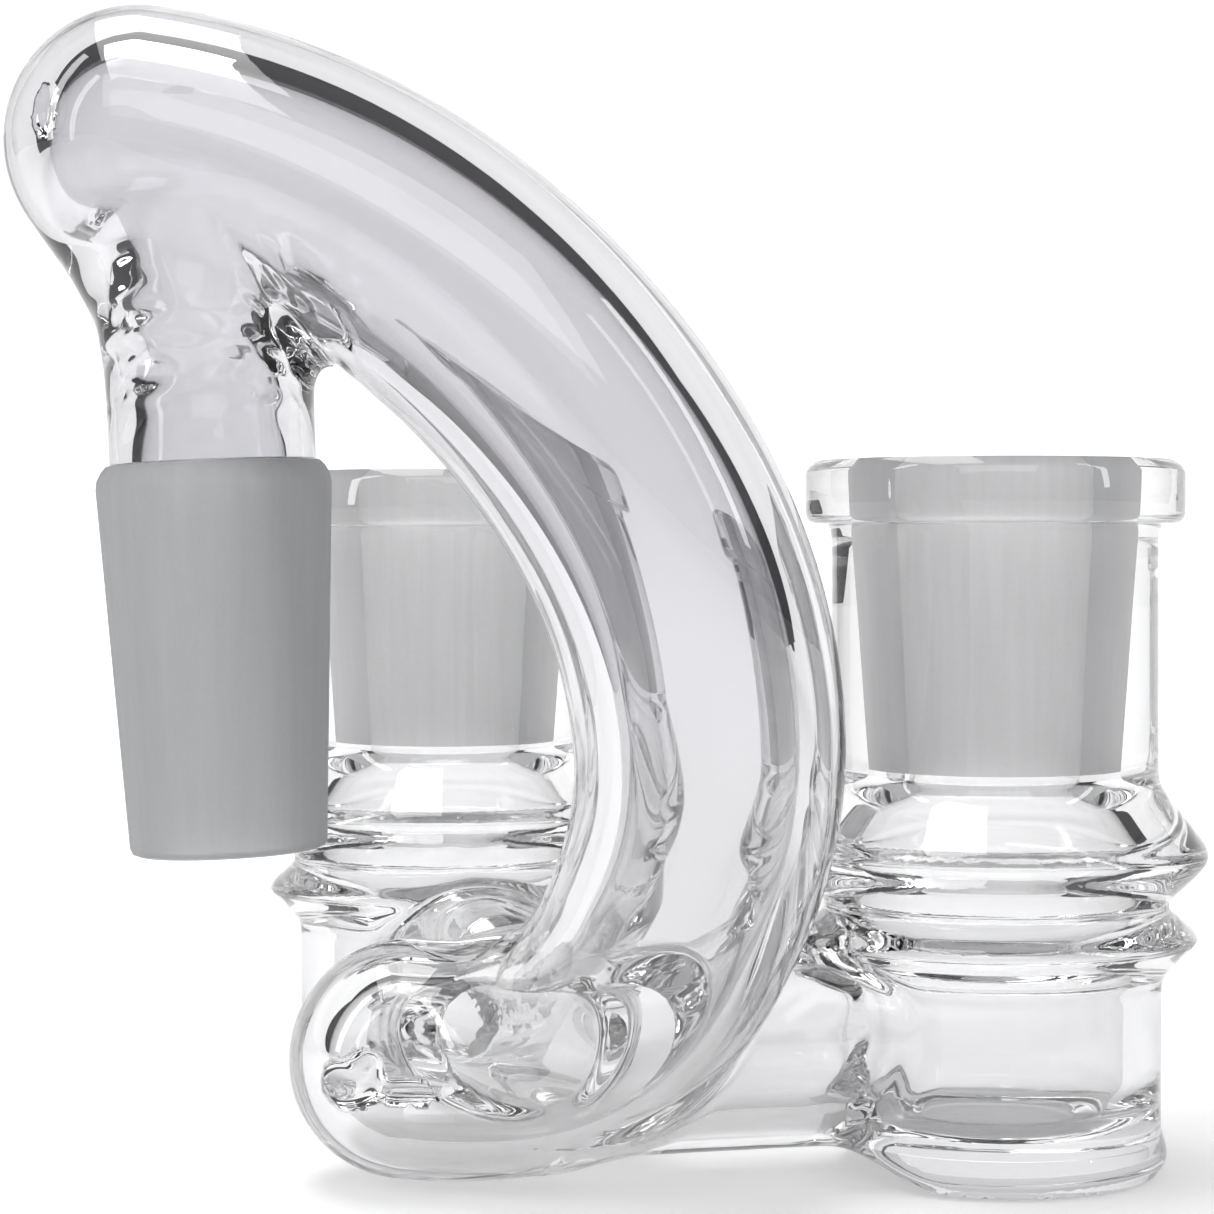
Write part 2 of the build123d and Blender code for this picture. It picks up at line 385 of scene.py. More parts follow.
def surface_nets(field, low, high, cell):
    """Quad mesh of the zero surface of a field inside a box."""
    counts = [int(math.ceil((b - a) / cell)) + 1 for a, b in zip(low, high)]
    axes = [low[k] + cell * np.arange(counts[k]) for k in range(3)]
    values = np.empty(counts)
    for i in range(0, counts[0], 8):
        grid = np.stack(np.meshgrid(axes[0][i : i + 8], axes[1], axes[2], indexing="ij"), -1)
        values[i : i + 8] = field(grid.reshape(-1, 3), fine=False).reshape(grid.shape[:3])
    cells = np.array(counts) - 1
    size = int(np.prod(cells))
    total = np.zeros((size, 3))
    seen = np.zeros(size)
    crossings = []
    for axis in range(3):
        a = np.take(values, range(counts[axis] - 1), axis)
        b = np.take(values, range(1, counts[axis]), axis)
        at = np.argwhere((a < 0) != (b < 0))
        va, vb = a[tuple(at.T)], b[tuple(at.T)]
        place = at.astype(float)
        place[:, axis] += va / (va - vb)
        o1, o2 = [k for k in range(3) if k != axis]
        ring = []
        good = np.ones(len(at), bool)
        for d1, d2 in ((0, 0), (-1, 0), (-1, -1), (0, -1)):
            c = at.copy()
            c[:, o1] += d1
            c[:, o2] += d2
            inside = np.all((c >= 0) & (c < cells), axis=1)
            flat = np.where(inside, (c[:, 0] * cells[1] + c[:, 1]) * cells[2] + c[:, 2], 0)
            for k in range(3):
                total[:, k] += np.bincount(flat[inside], place[inside, k], minlength=size)
            seen += np.bincount(flat[inside], minlength=size)
            ring.append(flat)
            good &= inside
        flip = (va < 0) if axis != 1 else (va >= 0)
        crossings.append((np.stack(ring, 1)[good], flip[good]))
    used = np.flatnonzero(seen)
    number = np.full(size, -1)
    number[used] = np.arange(len(used))
    points = np.array(low) + cell * total[used] / seen[used][:, None]
    quads = []
    for ring, flip in crossings:
        ring = number[ring]
        ring[~flip] = ring[~flip][:, ::-1]
        quads.append(ring)
    for _ in range(2):
        value = field(points)
        slope = gradient(field, points, 0.02)
        points = points - (value / np.einsum("ij,ij->i", slope, slope))[:, None] * slope
    return points, np.vstack(quads)


def gradient(field, points, step):
    """Numerical slope of a field at points."""
    out = np.empty_like(points)
    for k in range(3):
        shift = np.zeros(3)
        shift[k] = step
        out[:, k] = (field(points + shift) - field(points - shift)) / (2 * step)
    return out


# ------------------------------------------------------------------ mesh helpers
def finish_piece(name, bm, nodes, field=None):
    """Turns a mesh in mm into a named piece that rides on the root body."""
    bmesh.ops.remove_doubles(bm, verts=bm.verts, dist=1e-4)
    mesh = bpy.data.meshes.new(name)
    for vert in bm.verts:
        vert.co *= MM
    bm.to_mesh(mesh)
    bm.free()
    mesh.polygons.foreach_set("use_smooth", [True] * len(mesh.polygons))
    piece = bpy.data.objects.new(name, mesh)
    bpy.context.scene.collection.objects.link(piece)
    for material in glass_materials(name):
        mesh.materials.append(material)
    if field is None:
        mesh.set_sharp_from_angle(angle=math.radians(38))
    else:
        points = np.empty(len(mesh.vertices) * 3)
        mesh.vertices.foreach_get("co", points)
        slope = gradient(field, points.reshape(-1, 3) / MM, 0.02)
        slope /= np.maximum(np.linalg.norm(slope, axis=1), 1e-9)[:, None]
        mesh.normals_split_custom_set_from_vertices([tuple(v) for v in slope])
    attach(piece, "root")
    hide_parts(*nodes)
    return piece


def lathe(profile, origin=(0, 0, 0), up=(0, 0, 1), segments=144):
    """Turns a closed profile of (radius, height, material of the next face)."""
    bm = bmesh.new()
    up = Vector(up)
    turn = Vector((0, 0, 1)).rotation_difference(up)
    rings = []
    for radius, height, _ in profile:
        if radius < 1e-6:
            rings.append([bm.verts.new(turn @ Vector((0, 0, height)) + Vector(origin))] * segments)
            continue
        ring = []
        for k in range(segments):
            a = 2 * math.pi * k / segments
            spot = Vector((radius * math.cos(a), radius * math.sin(a), height))
            ring.append(bm.verts.new(turn @ spot + Vector(origin)))
        rings.append(ring)
    for i, (_, _, material) in enumerate(profile):
        lower, upper = rings[i], rings[(i + 1) % len(rings)]
        for k in range(segments):
            j = (k + 1) % segments
            corners = [lower[k], lower[j], upper[j], upper[k]]
            unique = list(dict.fromkeys(corners))
            if len(unique) > 2:
                bm.faces.new(unique).material_index = material
    return bm


def sweep_tube(start, end, outer, inner, segments=112):
    """Open length of the arch tube between two shares of the bend, closed by rims."""
    first = int(round(start * (len(BEND_LINE) - 1)))
    last = int(round(end * (len(BEND_LINE) - 1)))
    stations = list(range(first, last, 2)) + [last]
    bm = bmesh.new()
    side = np.array((0.0, 1.0, 0.0))
    walls = {outer: [], inner: []}
    for i in stations:
        along = BEND_TANGENT[i]
        side = side - (side @ along) * along
        side /= np.linalg.norm(side)
        other = np.cross(along, side)
        for radius, rings in walls.items():
            ring = []
            for k in range(segments):
                a = 2 * math.pi * k / segments
                spot = BEND_LINE[i] + radius * (math.cos(a) * side + math.sin(a) * other)
                ring.append(bm.verts.new(spot))
            rings.append(ring)

    def skin(lower, upper, material, reverse):
        for k in range(segments):
            j = (k + 1) % segments
            corners = [lower[k], lower[j], upper[j], upper[k]]
            if reverse:
                corners.reverse()
            bm.faces.new(corners).material_index = material

    for n in range(len(stations) - 1):
        skin(walls[outer][n], walls[outer][n + 1], CLEAR, False)
        skin(walls[inner][n], walls[inner][n + 1], CLEAR, True)
    skin(walls[inner][0], walls[outer][0], FUSED, False)
    skin(walls[outer][-1], walls[inner][-1], FUSED, False)
    return bm


def cut(bm, point, normal, near, reach):
    """Splits faces near a spot along a plane, without removing anything."""
    point, normal, near = Vector(point), Vector(normal), Vector(near)
    faces = [f for f in bm.faces if (f.calc_center_median() - near).length < reach]
    edges = {e for f in faces for e in f.edges}
    verts = {v for f in faces for v in f.verts}
    bmesh.ops.bisect_plane(
        bm,
        geom=faces + list(edges) + list(verts),
        dist=1e-5,
        plane_co=point,
        plane_no=normal,
    )


def chain_ends(rim):
    """Vertices where the rim edges of one plane stop short of a loop."""
    seen = {}
    for edge in rim:
        for vert in edge.verts:
            seen[vert] = seen.get(vert, 0) + 1
    return {vert for vert, count in seen.items() if count == 1}


def close_corners(out, planes, rims, field):
    """Adds the straight edges through the glass where two cut planes meet."""
    for i, first in enumerate(planes):
        for j, second in enumerate(planes[:i]):
            corners = chain_ends(rims[i]) & chain_ends(rims[j])
            line = first[1].cross(second[1])
            corners = sorted(corners, key=lambda vert: vert.co.dot(line))
            for a, b in zip(corners[:-1], corners[1:]):
                middle = np.array([(a.co + b.co) / 2])
                if field(middle)[0] < 0 and out.edges.get((a, b)) is None:
                    edge = out.edges.new((a, b))
                    rims[i].append(edge)
                    rims[j].append(edge)


def lies_on(edge, point, normal, slack=2e-3):
    """Whether both ends of an edge are on a plane."""
    return all(abs((vert.co - point).dot(normal)) < slack for vert in edge.verts)


def part_of(bm, chosen, planes, field):
    """Copies the chosen faces into a piece whose cut planes are closed by fused faces."""
    out = bmesh.new()
    made = {}
    for face in chosen:
        corners = []
        for vert in face.verts:
            if vert.index not in made:
                made[vert.index] = out.verts.new(vert.co)
            corners.append(made[vert.index])
        out.faces.new(corners).material_index = CLEAR
    loose = [edge for edge in out.edges if len(edge.link_faces) == 1]
    rims = [[e for e in loose if lies_on(e, point, normal)] for point, normal in planes]
    close_corners(out, planes, rims, field)
    for (point, normal), rim in zip(planes, rims):
        if not rim:
            continue
        filled = bmesh.ops.triangle_fill(
            out, use_beauty=True, use_dissolve=False, edges=rim, normal=normal
        )
        caps = [g for g in filled["geom"] if isinstance(g, bmesh.types.BMFace)]
        known = set(rim)
        votes = 0
        for cap in caps:
            cap.material_index = FUSED
            for loop in cap.loops:
                if loop.edge in known:
                    mates = [m for m in loop.edge.link_loops if m.face is not cap]
                    votes += sum(1 if m.vert is loop.vert else -1 for m in mates)
        if votes > 0:
            bmesh.ops.reverse_faces(out, faces=caps)
    return out


def fused_mesh(field, low, high, cell):
    """One skin of a field as a bmesh in mm."""
    points, quads = surface_nets(field, low, high, cell)
    bm = bmesh.new()
    verts = [bm.verts.new(p) for p in points]
    for quad in quads:
        corners = [verts[i] for i in quad]
        if bm.faces.get(corners) is None:
            bm.faces.new(corners)
    return bm


# ------------------------------------------------------------------ materials
class Socket:
    """Shader maths on a node socket with plain operators."""

    def __init__(self, tree, socket):
        self.tree = tree
        self.socket = socket

    @classmethod
    def add(cls, tree, kind, settings=None, output=0, **values):
        """Adds any node: its settings first, then a value or a link for each socket."""
        node = tree.nodes.new(kind)
        for name, value in (settings or {}).items():
            setattr(node, name, value)
        for name, value in values.items():
            target = node.inputs[name.replace("_", " ")]
            if isinstance(value, Socket):
                tree.links.new(value.socket, target)
            else:
                target.default_value = value
        return cls(tree, node.outputs[output])

    def maths(self, operation, first, second):
        """One Math node between two numbers or sockets."""
        node = self.tree.nodes.new("ShaderNodeMath")
        node.operation = operation
        for target, value in zip(node.inputs, (first, second)):
            if isinstance(value, Socket):
                self.tree.links.new(value.socket, target)
            else:
                target.default_value = value
        return Socket(self.tree, node.outputs[0])

    def __add__(self, other):
        return self.maths("ADD", self, other)

    def __sub__(self, other):
        return self.maths("SUBTRACT", self, other)

    def __mul__(self, other):
        return self.maths("MULTIPLY", self, other)

    def __pow__(self, other):
        return self.maths("POWER", self, other)

    def __radd__(self, other):
        return self.maths("ADD", other, self)

    def __rsub__(self, other):
        return self.maths("SUBTRACT", other, self)

    def __rmul__(self, other):
        return self.maths("MULTIPLY", other, self)


def new_material(name):
    """Empty node material with its output."""
    material = bpy.data.materials.new(name)
    material.use_nodes = True
    tree = material.node_tree
    tree.nodes.clear()
    return material, tree, tree.nodes.new("ShaderNodeOutputMaterial")


def clear_glass(look, name, colour, upper=None):
    """Polished borosilicate with the faint waviness of flame work; painted shade darkens it where it
    is seen edge on, and given an upper tone it turns lighter towards the floor as painted floor
    light.
    """
    material, tree, output = new_material(name)
    place = Socket.add(tree, "ShaderNodeTexCoord", output="Object")
    waves = Socket.add(tree, "ShaderNodeTexNoise", Vector=place, Scale=110.0, Detail=1.0)
    bump = Socket.add(
        tree, "ShaderNodeBump", Strength=look.waviness, Distance=0.001, Height=waves
    )
    body = (*colour, 1)
    # painted floor light: the glass turns lighter towards the floor, from the upper tone above 50 mm
    # to the clear tone below 12 mm
    if upper:
        height = Socket.add(tree, "ShaderNodeSeparateXYZ", output="Z", Vector=place)
        share = Socket.add(
            tree,
            "ShaderNodeMapRange",
            {"interpolation_type": "SMOOTHSTEP"},
            Value=height,
            From_Min=0.012,
            From_Max=0.050,
        )
        body = Socket.add(tree, "ShaderNodeMixRGB", Fac=share, Color1=body, Color2=(*upper, 1))
    # painted shade: where the surface is seen edge on, the tint runs to a darker copy of the glass
    # colour, darkening the silhouettes
    edge = Socket.add(tree, "ShaderNodeLayerWeight", output="Facing", Blend=0.5)
    rim = [part * look.edge_shade_depth for part in colour]
    tint = Socket.add(
        tree, "ShaderNodeMixRGB", Fac=edge**look.edge_shade_fall, Color1=body, Color2=(*rim, 1)
    )
    shader = Socket.add(
        tree,
        "ShaderNodeBsdfPrincipled",
        Base_Color=tint,
        Roughness=0.0,
        IOR=look.glass_ior,
        Transmission_Weight=1.0,
        Normal=bump,
    )
    tree.links.new(shader.socket, output.inputs["Surface"])
    return material


def ground_glass(look, name, colour):
    """Frosted grinding of the taper joints, with faint streaks down the cone."""
    material, tree, output = new_material(name)
    place = Socket.add(tree, "ShaderNodeTexCoord", output="Object")
    drawn = Socket.add(tree, "ShaderNodeMapping", Vector=place, Scale=(1.0, 1.0, 0.06))
    streak = Socket.add(tree, "ShaderNodeTexNoise", Vector=drawn, Scale=1500.0, Detail=3.0)
    grain = Socket.add(tree, "ShaderNodeTexNoise", Vector=place, Scale=5200.0, Detail=2.0)
    average = 0.9
    shade = average * (1 + 0.16 * (streak - 0.5) + 0.10 * (grain - 0.5))
    black, bright = (0.0, 0.0, 0.0, 1), (*[c / average for c in colour], 1)
    tint = Socket.add(tree, "ShaderNodeMixRGB", Fac=shade, Color1=black, Color2=bright)
    shader = Socket.add(
        tree,
        "ShaderNodeBsdfPrincipled",
        Base_Color=tint,
        Roughness=look.ground_roughness,
        IOR=look.glass_ior,
        Transmission_Weight=look.ground_clearness,
    )
    tree.links.new(shader.socket, output.inputs["Surface"])
    return material


def fused_joint():
    """Unseen contact face where two preforms have run together in the flame."""
    material, tree, output = new_material("fused_joint")
    clear = Socket.add(tree, "ShaderNodeBsdfTransparent")
    tree.links.new(clear.socket, output.inputs["Surface"])
    return material


FINISHES = {}


def glass_materials(name):
    """Polished, ground and fused finishes in slot order, made on first use."""
    if not FINISHES:
        look = bpy.context.scene.adapter_look
        FINISHES["thin"] = clear_glass(look, "thin_wall_glass", look.clear_colour)
        # the heavy glass is lighter towards the floor as painted floor light
        FINISHES["heavy"] = clear_glass(
            look, "heavy_wall_glass", look.clear_colour, look.heavy_colour
        )
        FINISHES["foot"] = clear_glass(look, "thick_base_glass", look.base_colour)
        # the male cone gets a darker copy of the sockets' ground glass: painted shade
        FINISHES["cone"] = ground_glass(look, "shaded_ground_cone_glass", look.shaded_cone_colour)
        FINISHES["ground"] = ground_glass(look, "ground_socket_glass", look.ground_colour)
        FINISHES["fused"] = fused_joint()
    heavy = name.startswith("arch") or name == "male_neck"
    polished = FINISHES["heavy" if heavy else "foot" if name.endswith("base") else "thin"]
    ground = FINISHES["cone" if name == "male_joint" else "ground"]
    return polished, ground, FINISHES["fused"]


# ------------------------------------------------------------------ settings
class AdapterSizes(bpy.types.PropertyGroup):
    """Sizes of the glass that a user may change."""

    tube_bore: FloatProperty(
        name="Tube bore radius",
        description="Radius of the hollow in the arch tube",
        default=5.6 * MM,
        unit="LENGTH",
    )
    skin_cell: FloatProperty(
        name="Skin cell",
        description="Cell size of the fused skins at the welds",
        default=0.42 * MM,
        unit="LENGTH",
    )
    turned_faces: IntProperty(
        name="Turned faces", description="Faces round each turned piece", default=144
    )


class AdapterLook(bpy.types.PropertyGroup):
    """Colours and finish of the glass."""

    clear_colour: FloatVectorProperty(
        name="Clear glass",
        description="Tint of the polished glass",
        default=(0.885, 0.885, 0.888),
        subtype="COLOR",
        size=3,
    )
    # the arch's top tone; lower down the arch blends to the clear tint as painted floor light
    heavy_colour: FloatVectorProperty(
        name="Heavy glass",
        description="Tint of the thick-walled arch tube",
        default=(0.735, 0.73, 0.748),
        subtype="COLOR",
        size=3,
    )
    base_colour: FloatVectorProperty(
        name="Base glass",
        description="Tint of the thick flat bases",
        default=(0.46, 0.46, 0.47),
        subtype="COLOR",
        size=3,
    )
    ground_colour: FloatVectorProperty(
        name="Ground glass",
        description="Colour of the frosted joints",
        default=(0.90, 0.90, 0.905),
        subtype="COLOR",
        size=3,
    )
    # painted shade: the male cone's ground glass is darker than the sockets'
    shaded_cone_colour: FloatVectorProperty(
        name="Ground cone",
        description="Colour of the frosted male cone",
        default=(0.585, 0.59, 0.60),
        subtype="COLOR",
        size=3,
    )
    ground_roughness: FloatProperty(
        name="Ground roughness", description="Roughness of the grinding", default=0.62
    )
    ground_clearness: FloatProperty(
        name="Ground clearness", description="Share of light let through", default=0.55
    )
    # painted shade along the silhouettes: how dark the edge-on tint gets and how fast it fades
    edge_shade_depth: FloatProperty(
        name="Edge depth",
        description="How light the glass stays where it is seen edge on",
        default=0.38,
    )
    edge_shade_fall: FloatProperty(
        name="Edge fall", description="How fast that edge tone fades towards the middle", default=2.6
    )
    glass_ior: FloatProperty(
        name="Refraction", description="Refractive index of the glass", default=1.47
    )
    waviness: FloatProperty(
        name="Waviness", description="Strength of the flame-worked ripple", default=0.02
    )


class StageLook(bpy.types.PropertyGroup):
    """Camera, floor and light."""

    floor_colour: FloatVectorProperty(
        name="Floor",
        description="Colour of the floor",
        default=(0.70, 0.70, 0.71),
        subtype="COLOR",
        size=3,
    )
    camera_back: FloatProperty(
        name="Camera distance",
        description="Distance from the top end of the arch to the camera",
        default=0.185,
        unit="LENGTH",
    )
    camera_height: FloatProperty(
        name="Camera height", description="Height above the floor", default=0.0444, unit="LENGTH"
    )
    camera_lens: FloatProperty(
        name="Lens", description="Focal length in mm on a 36 mm wide sensor", default=88.962
    )
    camera_shift: FloatProperty(
        name="Lens shift", description="Shift up, as a share of the picture", default=-0.046129
    )
    floor_glow: FloatProperty(
        name="Floor glow", description="Light given off under the glass", default=0.42
    )
    wall_glow: FloatProperty(
        name="Backdrop glow", description="Light given off by the backdrop", default=0.86
    )
    backdrop_reach: FloatProperty(
        name="Backdrop half width", description="Reach to each side", default=0.75, unit="LENGTH"
    )
    world_light: FloatProperty(
        name="Surround", description="Brightness of the room", default=0.05
    )
    key_power: FloatProperty(
        name="Key light", description="Power of the top light in watts", default=1.0
    )


# ------------------------------------------------------------------ operators
def ground_radius(height):
    """Radius of a ground socket at a height above the floor."""
    return TAPER_RADIUS - TAPER_SLOPE * (CUP_HEIGHT - height)


class ADAPTER_OT_male_joint(bpy.types.Operator):
    """Turn the ground male cone with its softened shoulder."""

    bl_idname = "adapter.male_joint"
    bl_label = "Male joint"

    def execute(self, context):
        small = TAPER_RADIUS - TAPER_SLOPE * MALE_LENGTH
        profile = [
            (MALE_BORE, -MALE_LENGTH + 0.3, GROUND),
            (MALE_BORE + 0.3, -MALE_LENGTH, GROUND),
            (small - 0.5, -MALE_LENGTH, GROUND),
            (small - 0.15, -MALE_LENGTH + 0.14, GROUND),
            (small, -MALE_LENGTH + 0.5, GROUND),
            (TAPER_RADIUS - 0.02, -1.5, GROUND),
            (TAPER_RADIUS - 0.10, -0.95, GROUND),
            (TAPER_RADIUS - 0.36, -0.45, GROUND),
            (TAPER_RADIUS - 0.66, -0.12, CLEAR),
            (6.35, 0.0, FUSED),
            (NECK_BORE + 0.2, 0.0, CLEAR),
            (MALE_BORE, -2.5, CLEAR),
        ]
        bm = lathe(profile, MALE_TOP, MALE_UP, context.scene.adapter_sizes.turned_faces)
        finish_piece("male_joint", bm, ["male_joint"])
        return {"FINISHED"}


class ADAPTER_OT_sockets(bpy.types.Operator):
    """Turn the ground socket and the lip of each cup."""

    bl_idname = "adapter.sockets"
    bl_label = "Sockets and lips"

    def execute(self, context):
        faces = context.scene.adapter_sizes.turned_faces
        low_out = float(np.interp(SOCKET_FOOT, *CUP_OUTSIDE))
        low_in = float(np.interp(SOCKET_FOOT, *CUP_INSIDE))
        outside = [
            (float(np.interp(z, *CUP_OUTSIDE)), z, CLEAR)
            for z in (28.25, 28.5, 28.8, 29.5, 34.0, 40.0, 45.2)
        ]
        socket = [(low_out, SOCKET_FOOT, CLEAR)] + outside
        socket += [
            (11.85, 45.9, CLEAR),
            (LIP_WELD, LIP_FOOT, FUSED),
            (ground_radius(LIP_FOOT), LIP_FOOT, GROUND),
            (ground_radius(37.0), 37.0, GROUND),
            (ground_radius(28.6), 28.6, CLEAR),
            (low_in, SOCKET_FOOT, FUSED),
        ]
        lip = [
            (LIP_WELD, LIP_FOOT, CLEAR),
            (LIP_RADIUS - 0.75, LIP_FOOT + 0.05, CLEAR),
            (LIP_RADIUS - 0.3, LIP_FOOT + 0.2, CLEAR),
            (LIP_RADIUS - 0.06, LIP_FOOT + 0.55, CLEAR),
            (LIP_RADIUS, LIP_FOOT + 1.0, CLEAR),
            (LIP_RADIUS, CUP_HEIGHT - 0.9, CLEAR),
            (LIP_RADIUS - 0.2, CUP_HEIGHT - 0.45, CLEAR),
            (LIP_RADIUS - 0.7, CUP_HEIGHT, CLEAR),
            (TAPER_RADIUS + 0.35, CUP_HEIGHT, CLEAR),
            (TAPER_RADIUS, CUP_HEIGHT - 0.3, GROUND),
            (ground_radius(LIP_FOOT), LIP_FOOT, FUSED),
        ]
        for side, centre in (("right", RIGHT_CUP), ("left", LEFT_CUP)):
            for part, profile in (("socket", socket), ("lip", lip)):
                name = side + "_" + part
                slot = "ground_glass" if part == "socket" else "clear_glass"
                finish_piece(name, lathe(profile, centre, segments=faces), [name])
        return {"FINISHED"}


class ADAPTER_OT_arch(bpy.types.Operator):
    """Sweep the shoulder and the bow of the arch tube."""

    bl_idname = "adapter.arch"
    bl_label = "Arch tube"

    def execute(self, context):
        bore = context.scene.adapter_sizes.tube_bore / MM
        for name, start, end in zip(("arch_shoulder", "arch_bow"), CUTS[1:3], CUTS[2:4]):
            bm = sweep_tube(start, end, TUBE_RADIUS, bore)
            finish_piece(name, bm, [name])
        return {"FINISHED"}


class ADAPTER_OT_crown(bpy.types.Operator):
    """Fuse the top end of the arch with the neck of the male joint."""

    bl_idname = "adapter.crown"
    bl_label = "Crown and neck"

    def execute(self, context):
        sizes = context.scene.adapter_sizes
        field = crown_field(sizes.tube_bore / MM)
        bm = fused_mesh(field, CROWN_LOW, CROWN_HIGH, sizes.skin_cell / MM)
        end, end_way = (Vector(v) for v in bend_at(CUTS[1]))
        dome, dome_way = (Vector(v) for v in bend_at(CUTS[0]))
        male, male_way = Vector(MALE_TOP), Vector(MALE_UP)
        weld, weld_way = Vector(MALE_TOP + NECK_WELD * MALE_UP), Vector(NECK_WELD_WAY)
        cut(bm, end, end_way, end, TUBE_REACH)
        cut(bm, dome, dome_way, dome, DOME_REACH)
        cut(bm, male, male_way, male, MALE_REACH)
        cut(bm, weld, weld_way, weld, DOME_REACH)
        bm.verts.index_update()
        groups = {"arch_top_dome": [], "arch_crown": [], "male_neck": []}
        for face in bm.faces:
            c = face.calc_center_median()
            past_end = (c - end).dot(end_way)
            near_end = past_end > 0 and (c - end).length < TUBE_REACH
            if past_end > END_SLACK or near_end:
                continue
            rel = c - male
            away = (rel - rel.dot(male_way) * male_way).length
            if rel.dot(male_way) < 0 and away < NECK_REACH:
                continue
            if (c - weld).dot(weld_way) < 0 and away < NECK_REACH:
                groups["male_neck"].append(face)
            elif (c - dome).dot(dome_way) < 0:
                groups["arch_top_dome"].append(face)
            else:
                groups["arch_crown"].append(face)
        planes = [(end, end_way), (dome, dome_way), (male, male_way), (weld, weld_way)]
        for name, faces in groups.items():
            finish_piece(name, part_of(bm, faces, planes, field), [name], field)
        bm.free()
        return {"FINISHED"}


class ADAPTER_OT_foot(bpy.types.Operator):
    """Fuse the heel, both arms and both cups below their sockets."""

    bl_idname = "adapter.foot"
    bl_label = "Heel, arms and cups"

    def execute(self, context):
        sizes = context.scene.adapter_sizes
        field = foot_field(sizes.tube_bore / MM)
        bm = fused_mesh(field, FOOT_LOW, FOOT_HIGH, sizes.skin_cell / MM)
        start, start_way = (Vector(v) for v in bend_at(CUTS[3]))
        toe, toe_way = (Vector(v) for v in bend_at(CUTS[-1]))
        hub = Vector(HUB)
        up = Vector((0, 0, 1))
        cups = {"right": Vector(RIGHT_CUP), "left": Vector(LEFT_CUP)}
        ways = {"right": Vector(RIGHT_WAY), "left": Vector(LEFT_WAY)}
        levels = (BASE_TOP, WELL_TOP, VALLEY_HEIGHT, SOCKET_FOOT)
        cut(bm, start, start_way, start, TUBE_REACH)
        cut(bm, toe, toe_way, toe, TOE_REACH)
        planes = [(start, start_way), (toe, toe_way)]
        for side in cups:
            for along in (NEAR_CUT[side], FAR_CUT[side]):
                spot = hub + along * ways[side]
                cut(bm, spot, ways[side], spot, ARM_REACH)
                planes.append((spot, ways[side]))
            for level in levels:
                spot = cups[side] + level * up
                cut(bm, spot, up, spot, CUP_REACH)
        for level in levels:
            planes.append((Vector((0, 0, level)), up))
        bm.verts.index_update()
        names = ["arch_heel", "arch_toe_dome"]
        for side in cups:
            names += [side + "_" + part for part in CUP_PARTS]
        groups = {name: [] for name in names}
        for face in bm.faces:
            c = face.calc_center_median()
            if (c - start).dot(start_way) < 0 and (c - start).length < TUBE_REACH:
                continue
            name = "arch_heel"
            if (c - toe).dot(toe_way) > 0:
                name = "arch_toe_dome"
            for side in cups:
                along = (c - hub).dot(ways[side])
                aside = ((c - hub) - along * ways[side]).length
                flat = c - cups[side]
                flat.z = 0
                above = c.z > VALLEY_HEIGHT and aside > ARM_CLEAR
                if flat.length < CUP_REACH and (along > FAR_CUT[side] or above):
                    name = None if c.z > SOCKET_FOOT else side + "_upper_ring"
                    if c.z < VALLEY_HEIGHT:
                        name = side + "_lower_ring"
                    if c.z < WELL_TOP:
                        name = side + "_well"
                    if c.z < BASE_TOP:
                        name = side + "_base"
                elif along > NEAR_CUT[side] and aside < ARM_SIDE:
                    name = side + "_arm"
            if name:
                groups[name].append(face)
        for name, faces in groups.items():
            finish_piece(name, part_of(bm, faces, planes, field), [name], field)
        bm.free()
        return {"FINISHED"}


def add_panel(name, size, place, aim, strength):
    """Soft white area light that faces a point."""
    data = bpy.data.lights.new(name, "AREA")
    data.shape = "RECTANGLE"
    data.size, data.size_y = size
    data.energy = strength
    lamp = bpy.data.objects.new(name, data)
    bpy.context.scene.collection.objects.link(lamp)
    lamp.location = place
    way = Vector(aim) - Vector(place)
    lamp.rotation_euler = way.to_track_quat("-Z", "Y").to_euler()


def studio_finish(stage):
    """Matt white paint that glows more towards the backdrop."""
    material, tree, output = new_material("studio_paint")
    place = Socket.add(tree, "ShaderNodeTexCoord", output="Object")
    split = Socket.add(tree, "ShaderNodeSeparateXYZ", output="Y", Vector=place)
    glow = Socket.add(
        tree,
        "ShaderNodeMapRange",
        {"interpolation_type": "SMOOTHSTEP"},
        From_Min=0.06,
        From_Max=0.42,
        To_Min=stage.floor_glow,
        To_Max=stage.wall_glow,
        Value=split,
    )
    light = Socket.add(tree, "ShaderNodeCombineXYZ", X=glow, Y=glow, Z=glow)
    paint = Socket.add(
        tree,
        "ShaderNodeBsdfPrincipled",
        Base_Color=(*stage.floor_colour, 1),
        Roughness=0.9,
        Specular_IOR_Level=0.1,
        Emission_Color=light,
        Emission_Strength=1.0,
    )
    tree.links.new(paint.socket, output.inputs["Surface"])
    return material


def studio_sheet(name, rows, reach, material):
    """Smooth sheet through rows of (distance back, height), as wide as twice reach."""
    bm = bmesh.new()
    line = [[bm.verts.new((MIDDLE + side * reach, y, z)) for side in (-1, 1)] for y, z in rows]
    for (a, b), (c, d) in zip(line[:-1], line[1:]):
        bm.faces.new((a, b, d, c))
    mesh = bpy.data.meshes.new(name)
    bm.to_mesh(mesh)
    bm.free()
    mesh.polygons.foreach_set("use_smooth", [True] * len(mesh.polygons))
    mesh.materials.append(material)
    sheet = bpy.data.objects.new(name, mesh)
    bpy.context.scene.collection.objects.link(sheet)


